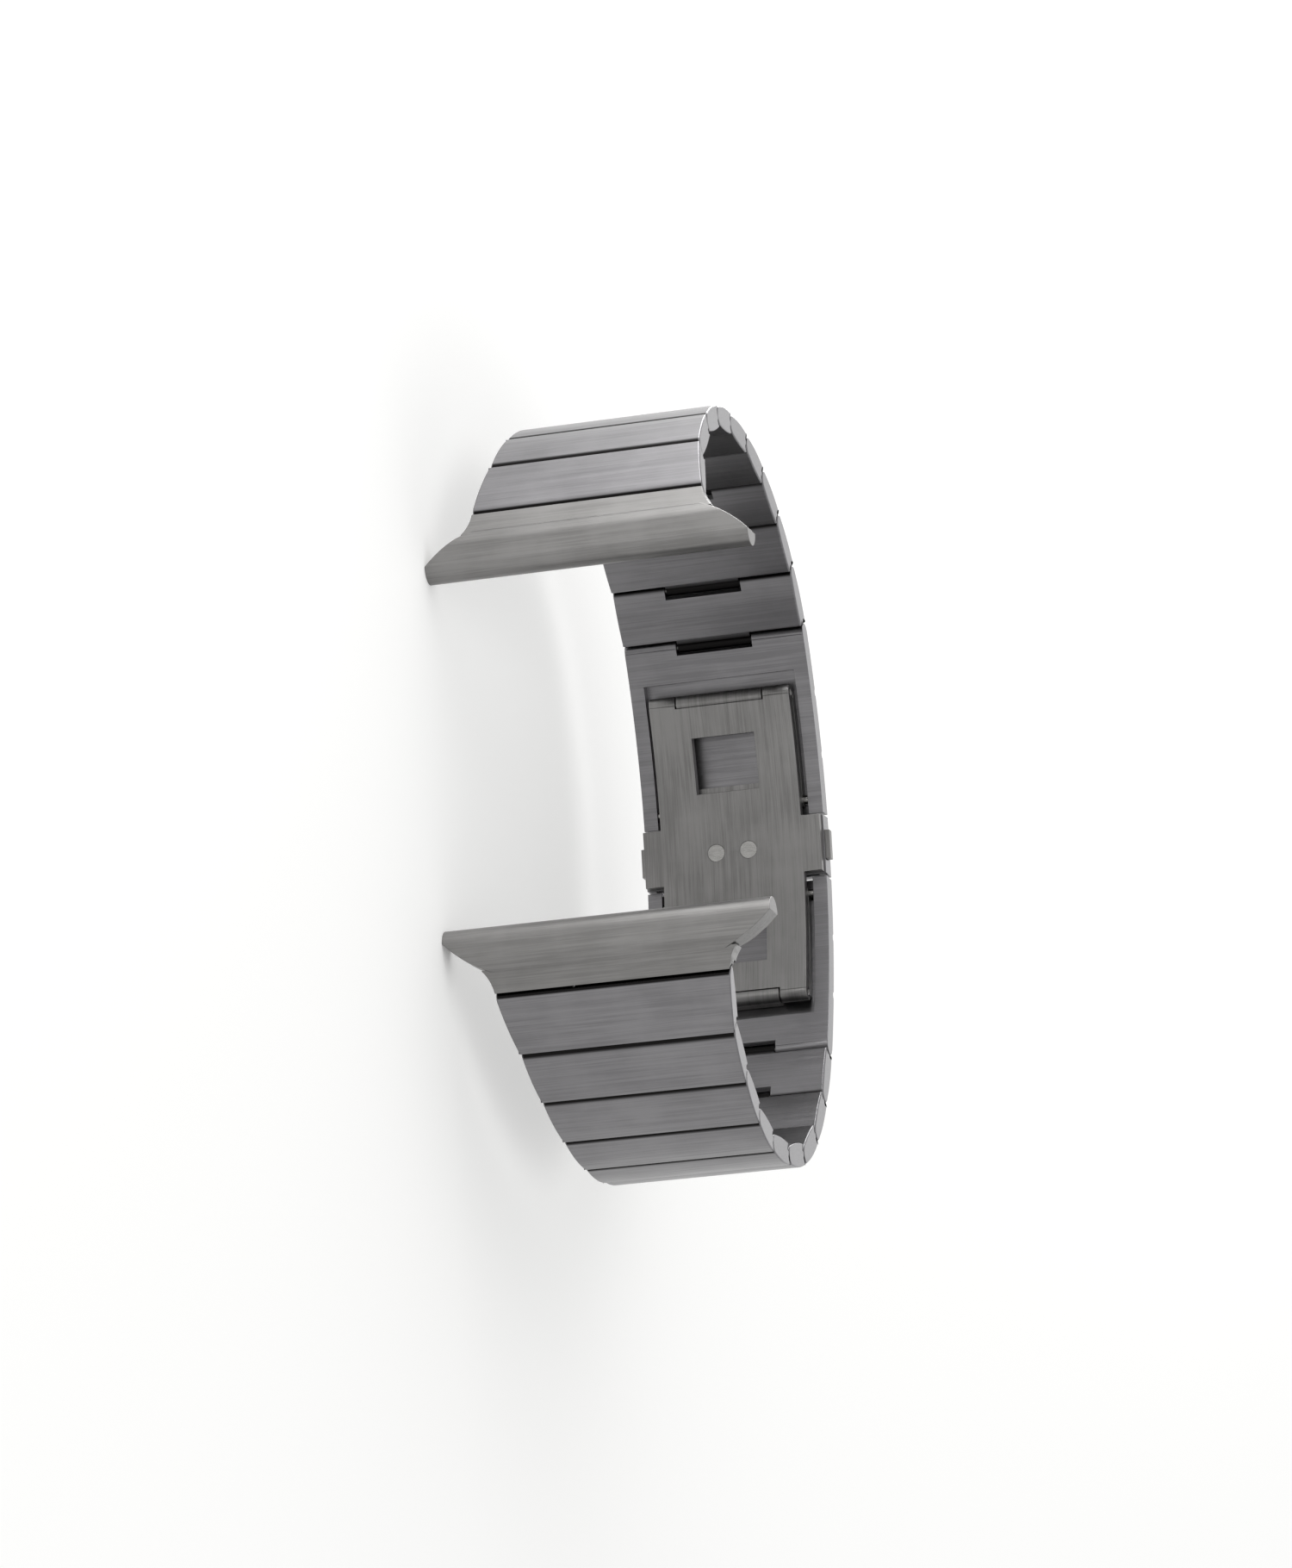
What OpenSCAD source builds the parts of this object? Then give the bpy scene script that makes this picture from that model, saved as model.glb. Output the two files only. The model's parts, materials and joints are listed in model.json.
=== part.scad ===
// Metal link bracelet with two slide-in end connectors and a folding butterfly clasp.
// It lies on its side: +Z runs along the hinge pins, +X towards the 6 o'clock arm, and +Y away from the open side.
// The origin is at the middle of the loop's box, on the plane that the lug tips stand on.

/* [Links] */
// Distance from one hinge pin to the next
link_pitch = 6.3; // [6.25:0.01:6.35]
// Radius of the rounded end of a link
link_end_r = 0.95; // [0.93:0.01:0.97]
// How far the outer face of a link bulges between its pins
outer_bulge = 0.30; // [0.24:0.01:0.32]
// How far the inner face of a link bulges between its pins
inner_bulge = 0.20; // [0.14:0.01:0.22]
// Bevel along the side edges of a link
edge_bevel = 0.18; // [0.1:0.01:0.22]
// Width of the band from the fifth hinge to the clasp
band_width = 18.9; // [18.7:0.1:19.1]
// How much wider the band is at the first hinge, next to the connector
widen_1 = 3.8; // [3.4:0.1:3.9]
// How much wider the band is at the second hinge
widen_2 = 2.0; // [1.7:0.1:2.4]
// How much wider the band is at the third hinge
widen_3 = 1.2; // [1.0:0.1:1.5]
// How much wider the band is at the fourth hinge
widen_4 = 0.5; // [0.3:0.1:0.8]

/* [Hinges] */
// Radius of a hinge pin
pin_r = 0.40; // [0.38:0.01:0.42]
// Radial clearance where a pin is held
hold_clearance = 0.01; // [0.01:0.005:0.015]
// Radial clearance where a piece turns on a pin
turn_clearance = 0.03; // [0.025:0.005:0.04]
// Radius of the eye at the end of a tongue
eye_r = 0.68; // [0.66:0.01:0.70]
// Width of a tongue
tongue_w = 7.7; // [7.4:0.1:8.0]
// Gap between a rounded end and the scoop that faces it
hinge_gap = 0.08; // [0.07:0.01:0.09]
// Gap between a rounded end and the outer lip of the scoop
lip_gap = 0.32; // [0.28:0.01:0.34]
// Gap between a rounded end and the inner lip of the scoop
inner_lip_gap = 0.50; // [0.44:0.01:0.52]
// Gap on each side of a tongue
side_gap = 0.15; // [0.12:0.01:0.18]
// Length of solid metal left beyond the blind end of a pin hole
blind_end = 1.1; // [0.9:0.1:1.3]

/* [Connectors] */
// Tip-to-tip length of the slide-in lug
lug_length = 32; // [31.8:0.1:32.2]
// Thickness of the lug
lug_t = 3.0; // [2.9:0.05:3.05]
// Depth of the lug, from its outer edge to its inner edge
lug_depth = 4.8; // [4.7:0.1:4.9]
// Radius of the curve that the lug tips follow
corner_r = 12.35; // [12.3:0.05:12.4]
// Radius of the fillet between the connector's side and its flared tip
flare_r = 3.7; // [3.6:0.05:3.8]
// Angle of the connector's outer face
connector_angle = 22; // [21:1:23]
// Radius of the lug's spring catch
catch_r = 0.90; // [0.8:0.05:0.95]
// How far the spring catch stands out of the lug
catch_travel = 0.45; // [0.4:0.05:0.5]

/* [Clasp] */
// Radius of the clasp's curve, measured at the pins
clasp_r = 56; // [55.8:0.1:56.2]
// Thickness of the outer plate of a cover
cover_t = 0.75; // [0.7:0.05:0.8]
// Thickness of a cover's side walls
wall_t = 1.5; // [1.4:0.1:1.6]
// Thickness of a folding blade
blade_t = 0.9; // [0.8:0.05:0.95]
// Gap between each edge of a folding blade and the side wall of its cover
blade_side_gap = 0.55; // [0.5:0.05:0.7]
// Thickness of the base plate
base_t = 1.1; // [1.0:0.05:1.2]
// Arc length from the middle of the clasp to a base pin
base_pin_s = 16.2; // [16:0.1:16.3]
// Arc length from the middle of the clasp to a cover pin
cover_pin_s = 4.9; // [4.8:0.1:5]
// Outer radius of the knuckles on the base plate
base_knuckle_r = 0.9; // [0.86:0.02:0.92]
// Outer radius of the knuckle on the cover end of a blade
blade_knuckle_r = 0.75; // [0.72:0.01:0.76]
// Half the width of a blade's middle knuckle
knuckle_half = 4.5; // [4.3:0.1:4.6]

/* [Buttons] */
// How far a button stands out of the side of the clasp
button_stand = 0.5; // [0.4:0.05:0.55]
// How far a button can be pressed
button_travel = 0.7; // [0.6:0.05:0.7]
// Length of the button's face along the band
button_l = 3.0; // [2.8:0.1:3.1]
// Mean radius of the coil spring behind a button
spring_r = 0.45; // [0.4:0.05:0.5]
// Radius of the spring wire
spring_wire = 0.11; // [0.1:0.01:0.12]
// Length of a button's spring at rest
spring_length = 4.2; // [4.0:0.1:4.3]
// Width of a button's flange, which stops it in the housing
flange_w = 5.9; // [5.7:0.1:6.0]
// Radius of a housing rivet
rivet_r = 0.6; // [0.5:0.05:0.65]

/* [Hidden] */
$fn = 96;

// Slope of each link in the stored pose, from the connector to the clasp, in degrees
slope_six = [44, 55, 64, 76, 89, 100, 120, 136, 149];
slope_twelve = [37, 53, 69, 83, 95, 108, 120, 132, 146];
// Place of the clasp's middle: towards the 6 o'clock arm, and behind the front of the loop
clasp_x = 0.8;
clasp_depth = 55;
// Middle of the loop's box, which the origin lies under
box_x = 0.42;
box_y = 28.561;
lift = lug_length / 2;
// The lug in the connector's own frame: its outer edge, its middle level and the middle of its corner curve
lug_start = 2.1;
lug_level = 1.2;
corner_mid = [lug_start - 0.55 + corner_r, lug_length / 2 - 9];
widenings = [widen_1, widen_2, widen_3, widen_4, 0];
// Levels of the clasp's layers, counted outwards from the pin line
cover_top = link_end_r + 0.05;
cover_under = cover_top - cover_t;
blade_top = cover_under - 0.15;
blade_under = blade_top - blade_t;
wall_under = -cover_top;
base_top = wall_under - 0.2;
base_under = base_top - base_t;
base_pin_level = base_under + base_knuckle_r + 0.05;
cover_pin_level = (blade_top + blade_under) / 2;
bar_half = link_pitch / 2;
cover_start = bar_half + 0.2;
cover_end = 3.5 * link_pitch;
half_band = band_width / 2;
wall_z = half_band - wall_t;
blade_w = 2 * (wall_z - blade_side_gap);
// Ends of the window in each half of the base plate, along the arc
window_s = [bar_half + 3.35, base_pin_s - 3.7];
window_half = knuckle_half - 1.2;
// Room around a button, and the level of its spring
button_play = 0.05;
button_block = button_l + 0.6;
flange_t = 1.0;
button_under = -0.95;
button_over = 0.05;
flange_over = -0.40;
housing_wall = 0.85;
flange_out = half_band - housing_wall - 2 * button_play;
pocket_z = flange_out - flange_t - spring_length - 2 * button_play;
spring_level = -0.45;
// Rivets between the two spring pockets
rivet_z = pocket_z - rivet_r - 0.9;
rivet_head_r = rivet_r + 0.28;
rivet_sink = 0.35;
pin_inset = 0.15;
cover_blind = 0.55;
steel = "#a9a8a5";
steel_dark = "#8b8a87";
pin_steel = "#c4c4c2";

function slope(side, k) = side == "six" ? slope_six[k - 1] : slope_twelve[k - 1];
function width(k) = band_width + widenings[min(k, 5) - 1];
function clasp_mid(side) = side == "six" ? clasp_x : -clasp_x;
function arc_deg(s) = s / clasp_r * 180 / PI;
function arc_pt(side, s, level) = [
  clasp_mid(side) + (clasp_r + level) * sin(arc_deg(s)),
  clasp_depth - clasp_r + (clasp_r + level) * cos(arc_deg(s))
];
function pin_pt(side, k) = k == 10 ? arc_pt(side, cover_end, 0)
  : pin_pt(side, k + 1) - link_pitch * [cos(slope(side, k)), sin(slope(side, k))];

// The loop's own frame, in which the middle plane of the band is z = 0
module on_side(side) {
  translate([-box_x, -box_y, lift]) mirror([side == "six" ? 0 : 1, 0, 0]) children();
}

module at(p, angle) {
  translate([p[0], p[1], 0]) rotate(angle) children();
}

module slab(half) {
  linear_extrude(height = 2 * half, center = true) children();
}

module both_sides(z0, z1) {
  for (m = [0, 1]) mirror([0, 0, m]) translate([0, 0, z0]) linear_extrude(height = z1 - z0) children();
}

// Hinge parts, drawn with the hinge axis at the origin
module scoop_cut(half) {
  slab(half) scoop_profile();
}

// Section of the scoop, which opens wider at both lips
module scoop_profile() {
  circle(r = link_end_r + hinge_gap);
  intersection() {
    circle(r = link_end_r + lip_gap);
    translate([-2, eye_r / 2]) square([4, 3]);
  }
  intersection() {
    circle(r = link_end_r + inner_lip_gap);
    translate([-2, -3 - eye_r / 2]) square([4, 3]);
  }
}

module tongue() {
  slab(tongue_w / 2) {
    circle(r = eye_r);
    translate([0, -eye_r]) square([1.7, eye_r + 0.05]);
  }
}

module tongue_bore() {
  slab(tongue_w) circle(r = pin_r + turn_clearance);
}

module head_cut(half) {
  slab(tongue_w / 2 + side_gap) {
    circle(r = eye_r + 0.07);
    polygon([[0, 0], [-1.1, -1.6], [2, -1.6], [2, 0.9]]);
  }
  translate([0, 0, -half - 1]) linear_extrude(height = 2 * half + 1 - blind_end) circle(r = pin_r + hold_clearance);
}

module hinge_pin(half) {
  translate([0, 0, pin_inset - half]) cylinder(r = pin_r, h = 2 * half - pin_inset - blind_end - 0.1);
}

// A link, with its tongue's axis at the origin and its rounded end at x = link_pitch
module link_outline() {
  half = link_pitch / 2;
  ro = (half * half + outer_bulge * outer_bulge) / (2 * outer_bulge);
  ri = (half * half + inner_bulge * inner_bulge) / (2 * inner_bulge);
  intersection() {
    translate([half, link_end_r + outer_bulge - ro]) circle(r = ro, $fn = 720);
    translate([half, -link_end_r - inner_bulge + ri]) circle(r = ri, $fn = 720);
    translate([0, -3]) square([link_pitch, 6]);
  }
  translate([link_pitch, 0]) circle(r = link_end_r);
}

// A flat cut at 45 degrees along both side edges, edge_bevel wide at the given level
module side_bevel(w_tail, w_head, level) {
  taper = atan((w_head - w_tail) / 2 / link_pitch);
  for (m = [0, 1]) mirror([0, 0, m])
    translate([0, level, w_tail / 2]) rotate([0, -taper, 0])
      translate([link_pitch / 2, 0, -edge_bevel]) rotate([45, 0, 0])
        translate([0, 1, 0]) cube([3 * link_pitch, 2, 2], center = true);
}

module link_solid(w_tail, w_head) {
  grow = (w_head - w_tail) / 2 / link_pitch;
  difference() {
    union() {
      difference() {
        intersection() {
          slab(w_head) link_outline();
          rotate([-90, 0, 0]) slab(4)
            polygon([
              [-2, -w_tail / 2 + 2 * grow], [link_pitch + 2, -w_head / 2 - 2 * grow],
              [link_pitch + 2, w_head / 2 + 2 * grow], [-2, w_tail / 2 - 2 * grow]
            ]);
        }
        scoop_cut(w_head);
        side_bevel(w_tail, w_head, link_end_r + outer_bulge / 2);
        mirror([0, 1, 0]) side_bevel(w_tail, w_head, link_end_r + inner_bulge / 2);
      }
      tongue();
    }
    tongue_bore();
    translate([link_pitch, 0, 0]) head_cut(w_head / 2);
  }
}

module link(side, k) {
  color(steel) on_side(side) at(pin_pt(side, k + 1), slope(side, k) - 180)
    link_solid(width(k + 1), width(k));
}

module pin(side, k) {
  color(pin_steel) on_side(side) at(pin_pt(side, k), 0) hinge_pin(width(k) / 2);
}

// A connector, drawn with its hinge axis at the origin, x inwards to the lug and y to the front
module connector_section() {
  d = [cos(connector_angle), sin(connector_angle)];
  n = [-sin(connector_angle), cos(connector_angle)];
  top = link_end_r * n;
  difference() {
    polygon([
      top, top + (lug_start + 0.5 - top[0]) / d[0] * d, [lug_start + 0.5, -0.05], -top + 1.6 * d, -top
    ]);
    rotate(connector_angle) scoop_profile();
  }
}

module lug_section() {
  x0 = lug_start + lug_t / 2;
  x1 = lug_start + lug_depth - lug_t / 2;
  translate([x0, lug_level]) circle(r = lug_t / 2);
  translate([x1, lug_level]) circle(r = lug_t / 2);
  translate([x0, lug_level - lug_t / 2]) square([x1 - x0, lug_t]);
}

// Plan of the body between the hinge and the lug: x inwards to the lug, y along the pins
module connector_plan() {
  half = width(1) / 2;
  // middle of the fillet that meets the corner curve
  cc = corner_mid;
  fy = half + 0.1 + flare_r;
  fx = cc[0] - sqrt(pow(corner_r + flare_r, 2) - pow(fy - cc[1], 2));
  dir = [fx - cc[0], fy - cc[1]] / (corner_r + flare_r);
  touch = cc + corner_r * dir;
  difference() {
    for (m = [0, 1]) mirror([0, m])
      polygon([
        [-1.5, 0], [-1.5, half - 0.1], [0, half], [fx, half + 0.1], [fx, fy], touch,
        [touch[0] + 1.2, touch[1] - 0.4], [lug_start + 2.9, half], [lug_start + 2.9, 0]
      ]);
    for (m = [0, 1]) mirror([0, m]) translate([fx, fy]) circle(r = flare_r);
  }
}

module lug_plan() {
  cc = corner_mid;
  intersection() {
    for (m = [0, 1]) mirror([0, m]) {
      translate(cc) circle(r = corner_r);
      translate([cc[0] - corner_r, -0.01]) square([10, cc[1] + 0.01]);
    }
    translate([0, -lug_length / 2]) square([lug_start + lug_depth + 2, lug_length]);
  }
}

module connector(side) {
  color(steel_dark) on_side(side) at(pin_pt(side, 1), 180) {
    difference() {
      union() {
        intersection() {
          slab(lug_length) connector_section();
          rotate([90, 0, 0]) slab(8) connector_plan();
        }
        intersection() {
          slab(lug_length) lug_section();
          rotate([90, 0, 0]) slab(8) lug_plan();
        }
        rotate(connector_angle) tongue();
      }
      tongue_bore();
      catch_at() cylinder(r = catch_r + 0.05, h = 2.4);
    }
  }
}

// The catch slides into the lug from its inner side
module catch_at() {
  translate([lug_start + lug_depth / 2, lug_level - lug_t / 2 - 0.6, 0]) rotate([-90, 0, 0]) children();
}

module lug_catch(side) {
  color(pin_steel) on_side(side) at(pin_pt(side, 1), 180) catch_at()
    translate([0, 0, 0.6 - catch_travel]) {
      cylinder(r1 = catch_r - 0.2, r2 = catch_r, h = 0.2);
      translate([0, 0, 0.2]) cylinder(r = catch_r, h = 1.05);
    }
}

// Clasp pieces, drawn in the arm's own frame
module arc_band(side, s0, s1, low, high) {
  translate([clasp_mid(side), clasp_depth - clasp_r]) intersection() {
    difference() {
      circle(r = clasp_r + high, $fn = 360);
      circle(r = clasp_r + low, $fn = 360);
    }
    polygon([
      [0, 0],
      [80 * sin(arc_deg(s0)), 80 * cos(arc_deg(s0))],
      [80 * sin(arc_deg((s0 + s1) / 2)), 80 * cos(arc_deg((s0 + s1) / 2))],
      [80 * sin(arc_deg(s1)), 80 * cos(arc_deg(s1))]
    ]);
  }
}

module clasp_at(side, s, level) {
  at(arc_pt(side, s, level), -arc_deg(s)) children();
}

module base_shape() {
  difference() {
    union() {
      slab(blade_w / 2) {
        arc_band("six", -base_pin_s, base_pin_s, base_under, base_top);
        for (m = [-1, 1]) clasp_at("six", m * base_pin_s, base_pin_level) circle(r = base_knuckle_r);
      }
      slab(half_band - pin_inset) arc_band("six", 0.1 - bar_half, bar_half - 0.1, base_under, base_top);
    }
    for (m = [-1, 1]) clasp_at("six", m * base_pin_s, base_pin_level) {
      slab(knuckle_half + side_gap) circle(r = base_knuckle_r + 0.1);
      slab(band_width) circle(r = pin_r + hold_clearance);
    }
    for (m = [-1, 1]) slab(window_half)
      arc_band("six", m > 0 ? window_s[0] : -window_s[1], m > 0 ? window_s[1] : -window_s[0],
        base_under - 1, base_top + 1);
  }
}

module rivets_at() {
  for (z = [-rivet_z, rivet_z]) at(arc_pt("six", 0, 0), 0) translate([0, 0, z]) rotate([90, 0, 0]) children();
}

module clasp_base() {
  color(steel_dark) on_side("six") difference() {
    base_shape();
    rivets_at() {
      cylinder(r = rivet_r + hold_clearance, h = 2 - 2 * base_under, center = true);
      translate([0, 0, -base_under - rivet_sink]) cylinder(r = rivet_head_r + 0.02, h = 1);
    }
  }
}

module housing_rivets() {
  color(pin_steel) on_side("six") rivets_at() {
    translate([0, 0, 0.2]) cylinder(r = rivet_r, h = -base_under - 0.2 - rivet_sink + 0.05);
    translate([0, 0, -base_under - rivet_sink + 0.01]) cylinder(r = rivet_head_r, h = rivet_sink - 0.05);
  }
}

// The middle bar of the clasp, hollow for the two buttons
module clasp_housing() {
  inner_face = half_band - housing_wall;
  color(steel) on_side("six") difference() {
    slab(half_band) arc_band("six", 0.05 - bar_half, bar_half - 0.05, base_top + 0.01, cover_top);
    at(arc_pt("six", 0, 0), 0) {
      both_sides(pocket_z, inner_face) button_room(button_block + 0.2, base_top - 1, 0.35);
      both_sides(inner_face - 0.1, half_band + 1)
        button_room(button_l + 2 * button_play, button_under - button_play, button_over + button_play);
      both_sides(flange_out - flange_t - button_travel - 0.1, inner_face)
        button_room(8, button_under, flange_over + button_play);
    }
    rivets_at() translate([0, 0, 0.18]) cylinder(r = rivet_r + hold_clearance, h = 4);
  }
}

// A rectangle of the button's section, w wide, between two levels
module button_room(w, low, high) {
  translate([-w / 2, low]) square([w, high - low]);
}

module button_shape() {
  translate([0, 0, flange_out - flange_t]) {
    linear_extrude(height = flange_t) button_room(button_block, base_top + 0.1, 0.2);
    linear_extrude(height = flange_t - 0.2) button_room(flange_w, button_under + button_play, flange_over);
    translate([0, 0, flange_t / 2]) linear_extrude(height = half_band + button_stand - flange_out + flange_t / 2)
      button_room(button_l, button_under, button_over);
  }
}

module button_top() {
  color(steel) on_side("six") at(arc_pt("six", 0, 0), 0) button_shape();
}

module button_bottom() {
  color(steel) on_side("six") at(arc_pt("six", 0, 0), 0) mirror([0, 0, 1]) button_shape();
}

module button_spring() {
  turns = 5;
  steps = 12 * turns;
  sides = 6;
  points = [for (i = [0:steps], j = [0:sides - 1])
    let (a = 360 * turns * i / steps, b = 360 * j / sides)
    [
      (spring_r + spring_wire * cos(b)) * cos(a),
      (spring_r + spring_wire * cos(b)) * sin(a),
      spring_wire + (spring_length - 2 * spring_wire) * i / steps + spring_wire * sin(b)
    ]];
  walls = [for (i = [0:steps - 1], j = [0:sides - 1], t = [0, 1])
    let (a = i * sides + j, b = i * sides + (j + 1) % sides)
    t == 0 ? [a, b, b + sides] : [a, b + sides, a + sides]];
  start = [for (j = [0:sides - 1]) sides - 1 - j];
  end = [for (j = [0:sides - 1]) steps * sides + j];
  translate([0, spring_level, pocket_z + button_play]) polyhedron(points, concat(walls, [start], [end]));
}

module button_spring_top() {
  color(pin_steel) on_side("six") at(arc_pt("six", 0, 0), 0) button_spring();
}

module button_spring_bottom() {
  color(pin_steel) on_side("six") at(arc_pt("six", 0, 0), 0) mirror([0, 0, 1]) button_spring();
}

module base_pin(side) {
  color(pin_steel) on_side(side) clasp_at(side, base_pin_s, base_pin_level)
    cylinder(r = pin_r, h = blade_w - 0.2, center = true);
}

module blade(side) {
  color(steel_dark) on_side(side) difference() {
    union() {
      slab(blade_w / 2) arc_band(side, cover_pin_s, base_pin_s + 0.5, blade_under, blade_top);
      slab(knuckle_half) arc_band(side, base_pin_s - 0.75, base_pin_s + 0.6, base_pin_level, blade_top);
      clasp_at(side, base_pin_s, base_pin_level) slab(knuckle_half) circle(r = base_knuckle_r);
      clasp_at(side, cover_pin_s, cover_pin_level) slab(blade_w / 2) circle(r = blade_knuckle_r);
    }
    clasp_at(side, base_pin_s, base_pin_level) {
      both_sides(knuckle_half + 0.05, band_width) {
        circle(r = base_knuckle_r + 0.1);
        translate([0, -3]) square([3, 6]);
      }
      slab(band_width) circle(r = pin_r + turn_clearance);
    }
    clasp_at(side, cover_pin_s, cover_pin_level) slab(band_width) circle(r = pin_r + turn_clearance);
    slab(knuckle_half) arc_band(side, cover_pin_s + 2.3, base_pin_s - 3.4, blade_under - 1, blade_top + 1);
  }
}

module cover_pin(side) {
  color(pin_steel) on_side(side) clasp_at(side, cover_pin_s, cover_pin_level)
    translate([0, 0, pin_inset - half_band]) cylinder(r = pin_r, h = band_width - pin_inset - cover_blind - 0.1);
}

module cover(side) {
  color(steel) on_side(side) difference() {
    union() {
      slab(half_band) {
        arc_band(side, cover_start, cover_end, cover_under, cover_top);
        arc_band(side, cover_end - 3.6, cover_end, wall_under, cover_top);
        clasp_at(side, cover_end, 0) circle(r = link_end_r);
      }
      both_sides(wall_z, half_band) arc_band(side, cover_start, cover_end - 3, wall_under, cover_top);
    }
    clasp_at(side, cover_end, 0) head_cut(half_band);
    clasp_at(side, cover_pin_s, cover_pin_level) {
      slab(wall_z) circle(r = blade_knuckle_r + 0.08);
      translate([0, 0, -half_band - 1]) linear_extrude(height = band_width + 1 - cover_blind)
        circle(r = pin_r + hold_clearance);
    }
    for (k = [1, 2]) clasp_at(side, cover_end - k * link_pitch, cover_top + 0.12) slab(half_band + 1) circle(r = 0.38);
  }
}

clasp_base();
clasp_housing();
housing_rivets();
button_top();
button_bottom();
button_spring_top();
button_spring_bottom();
base_pin("six");  // base_pin_six
base_pin("twelve");  // base_pin_twelve
blade("six");  // blade_six
blade("twelve");  // blade_twelve
cover_pin("six");  // cover_pin_six
cover_pin("twelve");  // cover_pin_twelve
cover("six");  // cover_six
cover("twelve");  // cover_twelve
link("six", 1);  // link_six_1
link("six", 2);  // link_six_2
link("six", 3);  // link_six_3
link("six", 4);  // link_six_4
link("six", 5);  // link_six_5
link("six", 6);  // link_six_6
link("six", 7);  // link_six_7
link("six", 8);  // link_six_8
link("six", 9);  // link_six_9
link("twelve", 1);  // link_twelve_1
link("twelve", 2);  // link_twelve_2
link("twelve", 3);  // link_twelve_3
link("twelve", 4);  // link_twelve_4
link("twelve", 5);  // link_twelve_5
link("twelve", 6);  // link_twelve_6
link("twelve", 7);  // link_twelve_7
link("twelve", 8);  // link_twelve_8
link("twelve", 9);  // link_twelve_9
pin("six", 1);  // pin_six_1
pin("six", 2);  // pin_six_2
pin("six", 3);  // pin_six_3
pin("six", 4);  // pin_six_4
pin("six", 5);  // pin_six_5
pin("six", 6);  // pin_six_6
pin("six", 7);  // pin_six_7
pin("six", 8);  // pin_six_8
pin("six", 9);  // pin_six_9
pin("six", 10);  // pin_six_10
pin("twelve", 1);  // pin_twelve_1
pin("twelve", 2);  // pin_twelve_2
pin("twelve", 3);  // pin_twelve_3
pin("twelve", 4);  // pin_twelve_4
pin("twelve", 5);  // pin_twelve_5
pin("twelve", 6);  // pin_twelve_6
pin("twelve", 7);  // pin_twelve_7
pin("twelve", 8);  // pin_twelve_8
pin("twelve", 9);  // pin_twelve_9
pin("twelve", 10);  // pin_twelve_10
connector("six");  // connector_six
connector("twelve");  // connector_twelve
lug_catch("six");  // lug_catch_six
lug_catch("twelve");  // lug_catch_twelve
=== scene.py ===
"""Dresses the metal watch bracelet: its brushed links, end connectors, folding clasp, floor and light.

Sizes in the classes are in millimetres, as a bracelet maker gives them. Meshes are drawn in millimetres
too and become metres when a piece is placed.
"""
import json
import logging
import math
from dataclasses import dataclass
from enum import Enum
from typing import Any

import bmesh
import bpy
from mathutils import Matrix, Vector

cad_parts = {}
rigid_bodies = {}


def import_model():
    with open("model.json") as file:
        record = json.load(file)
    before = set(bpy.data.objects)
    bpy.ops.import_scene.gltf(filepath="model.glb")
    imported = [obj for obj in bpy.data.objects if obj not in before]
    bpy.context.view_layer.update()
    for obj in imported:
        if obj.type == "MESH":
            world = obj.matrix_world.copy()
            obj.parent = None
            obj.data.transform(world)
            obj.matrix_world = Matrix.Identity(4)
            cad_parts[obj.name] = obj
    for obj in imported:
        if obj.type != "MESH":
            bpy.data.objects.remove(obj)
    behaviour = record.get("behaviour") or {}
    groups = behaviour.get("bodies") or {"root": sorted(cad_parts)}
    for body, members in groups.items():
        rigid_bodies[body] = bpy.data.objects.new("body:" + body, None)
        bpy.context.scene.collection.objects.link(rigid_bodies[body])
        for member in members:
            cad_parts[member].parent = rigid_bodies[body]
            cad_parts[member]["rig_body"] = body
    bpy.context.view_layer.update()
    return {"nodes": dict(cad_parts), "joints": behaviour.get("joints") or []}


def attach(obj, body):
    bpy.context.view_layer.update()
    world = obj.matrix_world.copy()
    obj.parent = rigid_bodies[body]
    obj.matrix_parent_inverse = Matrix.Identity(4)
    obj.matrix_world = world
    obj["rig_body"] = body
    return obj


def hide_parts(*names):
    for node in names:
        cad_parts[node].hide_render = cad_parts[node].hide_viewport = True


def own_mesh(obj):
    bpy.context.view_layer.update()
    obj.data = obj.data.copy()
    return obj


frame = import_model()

MM = 0.001
# Slack in millimetres for a vertex that lies on a surface
NEAR = 0.01
# A direction lies along an axis from this share of its length on
ALONG = 0.9
log = logging.getLogger("bracelet")


class Side(Enum):
    """The two arms of the band: six lies at +x and twelve at -x."""

    SIX = "six"
    TWELVE = "twelve"


class Slot(Enum):
    """The record's material slots."""

    BAND = "band_steel"
    CLASP = "clasp_steel"
    PIN = "pin_steel"


def linear(hex_colour: str) -> tuple[float, float, float, float]:
    """Turns an sRGB colour into linear light, by the sRGB standard's own curve.

    Args:
        hex_colour: The colour as "#rrggbb".

    Returns:
        Red, green, blue and an alpha of 1, in linear light.
    """
    parts = [int(hex_colour[i:i + 2], 16) / 255 for i in (1, 3, 5)]
    light = [p / 12.92 if p <= 0.04045 else ((p + 0.055) / 1.055) ** 2.4 for p in parts]
    return (*light, 1.0)


def empty_tree(owner: Any) -> bpy.types.NodeTree:
    """Gives a material or a world a node tree with nothing in it.

    Args:
        owner: The material or world.

    Returns:
        Its node tree.
    """
    owner.use_nodes = True
    owner.node_tree.nodes.clear()
    return owner.node_tree


def add_node(tree: bpy.types.NodeTree, kind: str, inputs: dict[Any, Any] | None = None,
             **settings: Any) -> Any:
    """Adds a node with its settings and links.

    Args:
        tree: The node tree that the node goes into.
        kind: The node's type, such as "ShaderNodeTexNoise".
        inputs: Socket name or number to a value, or to the output socket that feeds it.
        **settings: Attributes of the node itself.

    Returns:
        The new node.
    """
    new = tree.nodes.new(kind)
    for name, value in settings.items():
        setattr(new, name, value)
    for key, value in (inputs or {}).items():
        if isinstance(value, bpy.types.NodeSocket):
            tree.links.new(value, new.inputs[key])
        else:
            new.inputs[key].default_value = value
    return new


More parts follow.
